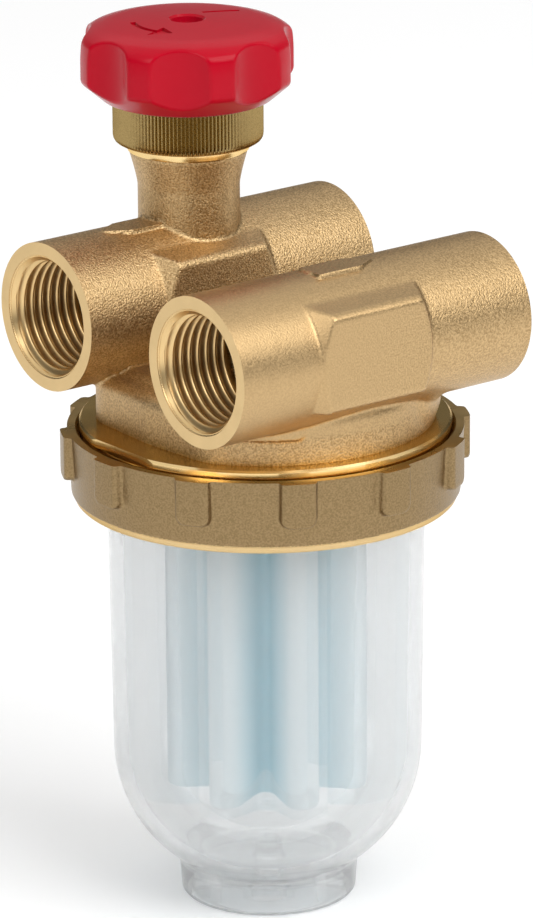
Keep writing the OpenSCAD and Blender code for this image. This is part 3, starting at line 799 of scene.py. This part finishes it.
def calm_factor(s):
    """How much grain there is: least towards the near end of the return run, which is smoother."""
    apart = s.node("ShaderNodeSeparateXYZ")
    s.link(s.place, apart.inputs["Vector"])
    amount = s.node("ShaderNodeMath", operation="MAXIMUM")
    s.link(s.span(apart.outputs["Y"], -0.024, -0.010, 0.32, 1.0), amount.inputs[0])
    s.link(s.span(apart.outputs["X"], -0.015, 0.02, 0.32, 0.8), amount.inputs[1])
    low = s.node("ShaderNodeMath", operation="MAXIMUM")
    s.link(amount.outputs["Value"], low.inputs[0])
    s.link(s.span(apart.outputs["Z"], 0.0925, 0.0915, 0.3, 1.0), low.inputs[1])
    return low.outputs["Value"]


def cast_metal(name, dark, light, grain, depth, roughness, calm_run=False):
    """Shot-blasted casting: fine grain in tone and height, over a slow swell."""
    s = Shader(name, Metallic=1.0)
    fine = s.noise(grain, 2.0)
    middle = [(a + b) / 2 for a, b in zip(dark, light)]
    colour = s.ramp(fine, [(0.36, dark), (0.64, light)])
    height = fine
    swell = s.noise(3.2, 2.0)
    if calm_run:
        factor = calm_factor(s)
        mix = s.node("ShaderNodeMix", data_type="RGBA")
        s.link(factor, mix.inputs[0])
        mix.inputs[6].default_value = (*middle, 1)
        s.link(colour, mix.inputs[7])
        colour = mix.outputs[2]
        scaled = s.node("ShaderNodeMath", operation="MULTIPLY")
        s.link(fine, scaled.inputs[0])
        s.link(factor, scaled.inputs[1])
        height = scaled.outputs["Value"]
    s.colour(colour)
    s.rough(s.span(fine, 0.3, 0.7, roughness - 0.06, roughness + 0.08))
    return s.bump([(swell, 0.2, 0.2), (height, 1.0, depth)]).material


def turned_metal(name, colour, axis, roughness, ring_mm=0.12, strength=0.25):
    """Machined metal, with tool marks in rings about the z axis, or in no direction for 'none'."""
    s = Shader(name, Metallic=1.0, Specular_Tint=(*[c ** 0.5 for c in colour], 1))
    stretch = {"z": (0.02, 0.02, 1), "none": (1, 1, 1)}[axis]
    lines = s.noise(ring_mm, 2.0, stretch)
    s.colour(s.ramp(s.noise(4.0, 2.0), [(0.3, [c * 0.93 for c in colour]), (0.7, colour)]))
    s.rough(s.span(lines, 0.3, 0.7, roughness - 0.04, roughness + 0.06))
    return s.bump([(lines, strength, 0.02)]).material


def plastic(name, colour, roughness, grain=0.5, depth=0.01, **values):
    s = Shader(name, **values)
    s.colour(s.ramp(s.noise(6.0, 2.0), [(0.3, [c * 0.96 for c in colour]), (0.7, colour)]))
    s.shader.inputs["Roughness"].default_value = roughness
    return s.bump([(s.noise(grain, 2.0), 0.3, depth)]).material


def element_plastic():
    """Sintered pale blue plastic, painted darker and bluer down in the valleys between the lobes as painted
    shade.
    """
    s = Shader("element_blue")
    apart = s.node("ShaderNodeSeparateXYZ")
    s.link(s.place, apart.inputs["Vector"])
    flat = s.node("ShaderNodeCombineXYZ")
    s.link(apart.outputs["X"], flat.inputs["X"])
    s.link(apart.outputs["Y"], flat.inputs["Y"])
    length = s.node("ShaderNodeVectorMath", operation="LENGTH")
    s.link(flat.outputs["Vector"], length.inputs[0])
    depth = s.span(length.outputs["Value"], 0.0085, 0.0172, 0, 1)
    # The valley colour is darker than flank and tip: painted shade in the valleys, over the plastic's own
    # pale blue.
    valley, flank, tip = (0.30, 0.62, 0.72), (0.60, 0.80, 0.86), (0.78, 0.87, 0.90)
    s.colour(s.ramp(depth, [(0.0, valley), (0.55, flank), (1.0, tip)]))
    s.shader.inputs["Roughness"].default_value = 0.75
    return s.bump([(s.noise(0.35, 2.0), 0.4, 0.04)]).material


def clear_plastic():
    """Clear plastic with a little haze: it lets most light straight through."""
    s = Shader("cup_clear", Transmission_Weight=0.85, IOR=1.47)
    s.shader.inputs["Base Color"].default_value = (0.965, 0.975, 0.98, 1)
    s.shader.inputs["Roughness"].default_value = 0.03
    s.shader.inputs["Alpha"].default_value = 0.74
    return s.bump([(s.noise(9.0, 1.0), 0.06, 0.05)]).material


def rubber(name):
    s = Shader(name)
    s.colour(s.ramp(s.noise(1.5, 2.0), [(0.3, (0.012, 0.012, 0.013)), (0.7, (0.022, 0.022, 0.024))]))
    s.shader.inputs["Roughness"].default_value = 0.55
    return s.bump([(s.noise(0.25, 2.0), 0.3, 0.01)]).material


BRASS_DARK = (0.39, 0.255, 0.115)
BRASS_LIGHT = (0.68, 0.48, 0.25)

materials = {
    "cast": cast_metal("cast_brass", BRASS_DARK, BRASS_LIGHT, 0.33, 0.14, 0.42, calm_run=True),
    "nut": cast_metal("nut_brass", (0.235, 0.16, 0.074), (0.335, 0.231, 0.115), 0.33, 0.08, 0.34),
    "face": turned_metal("faced_brass", (0.74, 0.54, 0.28), "none", 0.36, 0.3, 0.15),
    "ring": turned_metal("ring_brass", (0.88, 0.64, 0.30), "z", 0.2, 0.2, 0.1),
    "thread": turned_metal("thread_brass", (0.76, 0.54, 0.26), "none", 0.33, 0.3, 0.1),
    "knurl": turned_metal("knurl_brass", (0.32, 0.225, 0.09), "none", 0.26, 0.3, 0.15),
    "turned": turned_metal("turned_brass", (0.72, 0.52, 0.26), "z", 0.28),
    "steel": turned_metal("plated_steel", (0.62, 0.62, 0.63), "z", 0.28),
    "red": plastic("red_plastic", (0.47, 0.001, 0.014), 0.24, 0.4, 0.005, Specular_IOR_Level=0.14,
                   Sheen_Weight=0.26, Sheen_Roughness=0.3),
    "white": plastic("white_plastic", (0.80, 0.80, 0.78), 0.45),
    "element": element_plastic(),
    "clear": clear_plastic(),
    "rubber": rubber("seal_rubber"),
}


def paint(obj, names, choose=None):
    """Gives a piece its materials. choose(centres in mm, normals) returns a slot number per face."""
    mesh = obj.data
    mesh.materials.clear()
    for name in names:
        mesh.materials.append(materials[name])
    count = len(mesh.polygons)
    slots = np.zeros(count, np.int32)
    if choose:
        centres = np.empty(count * 3, np.float32)
        normals = np.empty(count * 3, np.float32)
        mesh.polygons.foreach_get("center", centres)
        mesh.polygons.foreach_get("normal", normals)
        slots = choose(centres.reshape(-1, 3) / MM, normals.reshape(-1, 3)).astype(np.int32)
    mesh.polygons.foreach_set("material_index", slots)
    mesh.update()


def smooth(obj, degrees):
    obj.data.shade_smooth()
    obj.data.set_sharp_from_angle(angle=math.radians(degrees))


def finish_piece(obj, body, nodes, names, choose=None, degrees=35):
    paint(obj, names, choose)
    smooth(obj, degrees)
    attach(obj, body)
    if nodes:
        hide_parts(*nodes)


def head_slots(c, n):
    """0 cast, 1 faced port ends, 2 machined flange and collar, 3 bores."""
    x, y, z = c.T
    slots = np.zeros(len(c), int)
    slots[(np.abs(np.abs(x) - HALF_LENGTH) < 0.02) & (np.abs(n[:, 0]) > 0.9)] = 1
    neck = np.hypot(x, y - REAR_Y)
    slots[(z < FLANGE_TOP + 0.01) | ((z > 130.72) & (neck > 9))] = 2
    for run in (FRONT_Y, REAR_Y):
        slots[(np.hypot(y - run, z - PIPE_Z) < PORT_R + 0.5) & (slots == 0)] = 3
    slots[(neck < NECK_BORE_R + 0.1) & (z < COLLAR_TOP + 0.1)] = 3
    inner = (np.hypot(x, y) < 31) & (z < FLANGE_TOP - 0.01)
    slots[inner] = 3
    return slots


def nut_slots(c, _):
    """0 cast, 1 turned faces."""
    rho = np.hypot(c[:, 0], c[:, 1])
    turned = (c[:, 2] > NUT_TOP - 0.02) | (rho < NUT_BORE_R + 0.8) | (c[:, 2] < NUT_BOTTOM + 1.4)
    return turned.astype(int)


def bonnet_slots(c, _):
    """0 knurled, 1 turned faces."""
    rho = np.hypot(c[:, 0], c[:, 1] - REAR_Y)
    return ((rho < BONNET_R - 0.5) | (c[:, 2] > BONNET_TOP - 0.3)).astype(int)


HEAD_FINISHES = ["cast", "face", "ring", "turned"]
finish_piece(make_head(), "head", ["filter_head"], HEAD_FINISHES, head_slots)
for run_name, run_y in (("return", FRONT_Y), ("feed", REAR_Y)):
    for letter, end in (("a", -1), ("b", 1)):
        thread = port_thread(f"port_thread_{run_name}_{letter}", end, run_y)
        finish_piece(thread, "head", [], ["thread"], degrees=50)
finish_piece(make_nut(), "nut", ["union_nut"], ["nut", "turned"], nut_slots)
finish_piece(make_cup(), "bowl", ["cup"], ["clear"], degrees=32)
finish_piece(make_element(), "element", ["filter_element"], ["element"])
finish_piece(make_bonnet(), "head", ["bonnet"], ["knurl", "turned"], bonnet_slots,
             degrees=60)
finish_piece(make_wheel(), "wheel", ["handwheel"], ["red"])

PLAIN_NODES = {
    "slip_ring": "white",
    "cup_seal_ring": "rubber",
    "element_cap": "white",
    "element_seal_ring": "rubber",
    "bonnet_seal_ring": "rubber",
    "spindle": "turned",
    "spindle_seal_lower": "rubber",
    "spindle_seal_upper": "rubber",
    "stop_ring": "steel",
    "valve_disc": "turned",
    "disc_seal": "rubber",
    "disc_washer": "steel",
    "disc_screw": "steel",
    "handwheel_washer": "steel",
    "handwheel_screw": "steel",
}
for node_name, finish in PLAIN_NODES.items():
    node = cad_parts[node_name]
    paint(node, [finish])
    smooth(node, 35)


# ------------------------------------------------------------------ studio

def make_floor():
    size = 6.0
    mesh = bpy.data.meshes.new("floor")
    corners = [(-size, -size, 0), (size, -size, 0), (size, size, 0), (-size, size, 0)]
    mesh.from_pydata(corners, [], [(0, 1, 2, 3)])
    floor = bpy.data.objects.new("floor", mesh)
    bpy.context.scene.collection.objects.link(floor)
    s = Shader("floor_white")
    s.shader.inputs["Base Color"].default_value = (0.95, 0.95, 0.95, 1)
    s.shader.inputs["Emission Color"].default_value = (1, 1, 1, 1)
    s.shader.inputs["Emission Strength"].default_value = 0.12
    s.shader.inputs["Roughness"].default_value = 0.9
    s.shader.inputs["Specular IOR Level"].default_value = 0.1
    mesh.materials.append(s.material)


def make_world():
    """A bright studio, with a darker band along the horizon."""
    world = bpy.data.worlds.new("studio")
    bpy.context.scene.world = world
    world.use_nodes = True
    tree = world.node_tree
    tree.nodes.clear()
    out = tree.nodes.new("ShaderNodeOutputWorld")
    back = tree.nodes.new("ShaderNodeBackground")
    ramp = tree.nodes.new("ShaderNodeValToRGB")
    rise = tree.nodes.new("ShaderNodeMapRange")
    apart = tree.nodes.new("ShaderNodeSeparateXYZ")
    place = tree.nodes.new("ShaderNodeTexCoord")
    rise.inputs["From Min"].default_value = -1
    rise.inputs["From Max"].default_value = 1
    stops = [(0.0, 1.0), (0.44, 0.8), (0.48, 0.08), (0.58, 0.08), (0.69, 0.20), (0.80, 1.0), (1.0, 1.2)]
    points = ramp.color_ramp.elements
    while len(points) < len(stops):
        points.new(0.5)
    for point, (where, level) in zip(points, stops):
        point.position = where
        point.color = (level, level, level, 1)
    tree.links.new(place.outputs["Generated"], apart.inputs["Vector"])
    tree.links.new(apart.outputs["Z"], rise.inputs["Value"])
    tree.links.new(rise.outputs["Result"], ramp.inputs["Fac"])
    tree.links.new(ramp.outputs["Color"], back.inputs["Color"])
    back.inputs["Strength"].default_value = 0.8
    tree.links.new(back.outputs["Background"], out.inputs["Surface"])


def softbox(name, place, aim, size, power):
    """A soft area light, turned towards aim."""
    data = bpy.data.lights.new(name, "AREA")
    data.shape = "RECTANGLE"
    data.size, data.size_y = size
    data.energy = power
    light = bpy.data.objects.new(name, data)
    bpy.context.scene.collection.objects.link(light)
    light.location = place
    light.rotation_euler = (Vector(aim) - Vector(place)).to_track_quat("-Z", "Y").to_euler()


def make_camera():
    """The photograph's viewpoint, found from its ellipses and thread pitch."""
    data = bpy.data.cameras.new("camera")
    data.sensor_width = 36
    data.lens = 248.77
    data.clip_end = 20
    camera = bpy.data.objects.new("camera", data)
    bpy.context.scene.collection.objects.link(camera)
    azimuth, tilt, roll = math.radians(-38.08), math.radians(17.856), math.radians(-0.415)
    distance, shift_right, shift_down = 1.1, 0.0001155, 0.0006887
    right = Vector((math.cos(azimuth), math.sin(azimuth), 0))
    ahead = Vector((-math.sin(azimuth), math.cos(azimuth), 0))
    forward = ahead * math.cos(tilt) - Vector((0, 0, math.sin(tilt)))
    up = ahead * math.sin(tilt) + Vector((0, 0, math.cos(tilt)))
    target = Vector((0, 0, 0.08)) + right * shift_right - up * shift_down
    side = right * math.cos(roll) + up * math.sin(roll)
    top = up * math.cos(roll) - right * math.sin(roll)
    place = target - forward * distance
    rows = [(side[i], top[i], -forward[i], place[i]) for i in range(3)] + [(0, 0, 0, 1)]
    camera.matrix_world = Matrix(rows)
    bpy.context.scene.camera = camera


make_floor()
make_world()
LIGHT_AIM = (0, 0, 0.09)
softbox("key", (0.25, -1.15, 1.1), LIGHT_AIM, (1.3, 1.0), 15)
softbox("fill", (-1.15, -0.35, 0.75), LIGHT_AIM, (0.5, 0.7), 4)
make_camera()
bpy.context.scene.view_settings.view_transform = "Standard"
